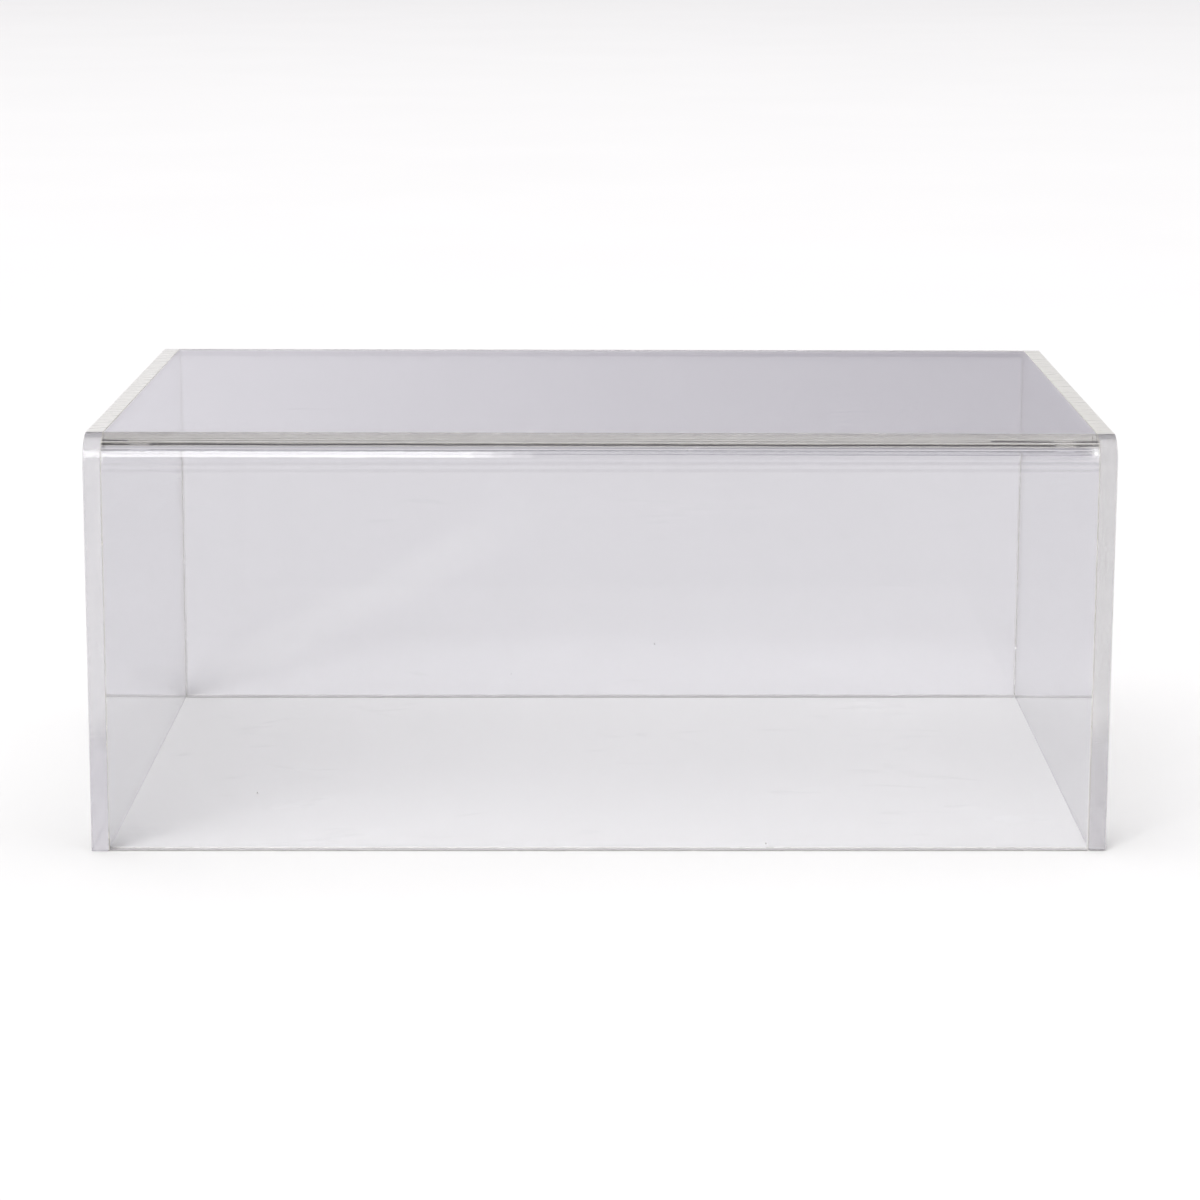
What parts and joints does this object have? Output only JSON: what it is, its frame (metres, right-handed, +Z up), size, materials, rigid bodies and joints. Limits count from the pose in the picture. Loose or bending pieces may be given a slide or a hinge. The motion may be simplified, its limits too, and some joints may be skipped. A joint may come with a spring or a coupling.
{
  "type": "acrylic display cover",
  "caption": "Clear acrylic display cover: a low oblong box with rounded long upper edges, cemented end panels and an open underside, set down over an exhibit.",
  "frame": {"origin": "middle of the footprint, on the surface that the rim rests on", "axes": "+Z up; +X to the right along the long side; -Y towards the visitor, out of the front face"},
  "size_m": [0.368, 0.257, 0.1523],
  "materials": {
    "clear_acrylic": "clear and polished, with sawn and sanded edges",
    "cement": "cured clear cement, slightly yellow, with small bubbles"
  },
  "bodies": {
    "root": {"wrap_sheet": "clear_acrylic", "left_end_panel": "clear_acrylic", "right_end_panel": "clear_acrylic", "left_cement_joint": "cement", "right_cement_joint": "cement"}
  },
  "joints": []
}
